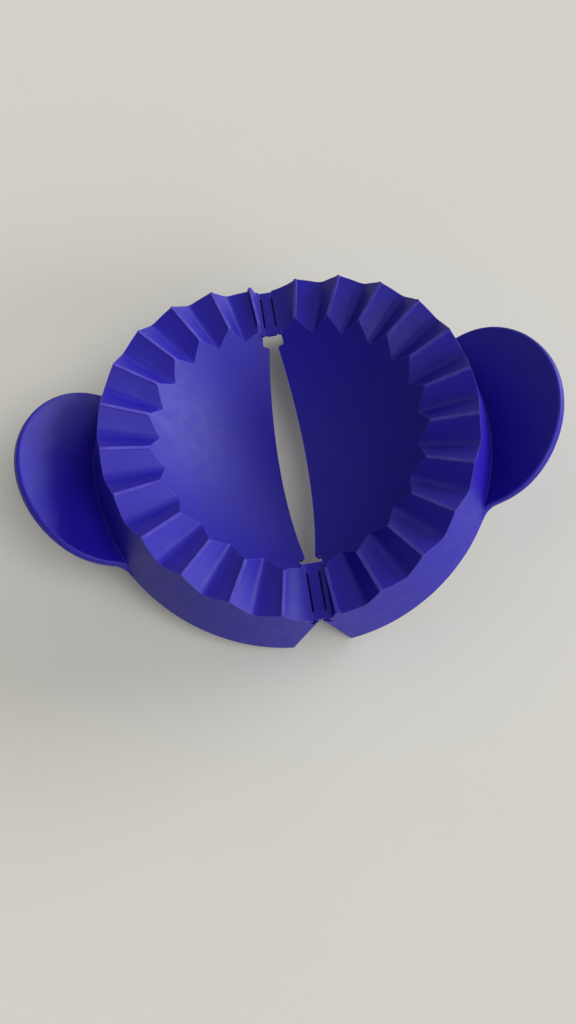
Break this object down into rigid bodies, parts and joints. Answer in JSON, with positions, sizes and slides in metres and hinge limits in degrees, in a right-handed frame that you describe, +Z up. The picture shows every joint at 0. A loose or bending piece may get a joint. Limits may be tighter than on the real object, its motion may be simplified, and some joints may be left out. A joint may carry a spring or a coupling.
{
  "type": "empanada press",
  "caption": "Hinged half-round press with corrugated crimp rings, dished halves, cutting skirts and flat handles, folding on paired film hinges.",
  "frame": {"origin": "centre of the footprint at table height, midway between the two fold lines", "axes": "+X from the left handle to the right handle, Y along the fold lines with -Y the near hinge, +Z up from the table"},
  "size_m": [0.1788, 0.1278, 0.05],
  "materials": {
    "moulding": "satin injection-moulded polypropylene, blue-violet",
    "hinge_film": "thin flexed polypropylene film, the same blue-violet, slightly smoother"
  },
  "bodies": {
    "hinge_straps": {"near_hinge_strap": "moulding", "far_hinge_strap": "moulding", "near_left_inner_film": "hinge_film", "near_left_outer_film": "hinge_film", "near_right_inner_film": "hinge_film", "near_right_outer_film": "hinge_film", "far_left_inner_film": "hinge_film", "far_left_outer_film": "hinge_film", "far_right_inner_film": "hinge_film", "far_right_outer_film": "hinge_film"},
    "right_half": {"right_half": "moulding"},
    "left_half": {"left_half": "moulding"}
  },
  "joints": [
    {"name": "right_hinge", "type": "hinge", "parent": "hinge_straps", "child": "right_half", "pos_m": [0.00205, 0, 0.02705], "axis": [0, -1, 0], "range_deg": [-18.8, 71.2], "stiffness_Nm_per_rad": 0.08, "springref_deg": 4.35, "deforming": ["near_right_inner_film", "near_right_outer_film", "far_right_inner_film", "far_right_outer_film"]},
    {"name": "left_hinge", "type": "hinge", "parent": "hinge_straps", "child": "left_half", "pos_m": [-0.00205, 0, 0.02705], "axis": [0, 1, 0], "range_deg": [-18.8, 71.2], "stiffness_Nm_per_rad": 0.08, "springref_deg": 4.35, "deforming": ["near_left_inner_film", "near_left_outer_film", "far_left_inner_film", "far_left_outer_film"]}
  ],
  "couplings": [
    {"joint": "left_hinge", "follows": "right_hinge", "ratio": 1}
  ]
}
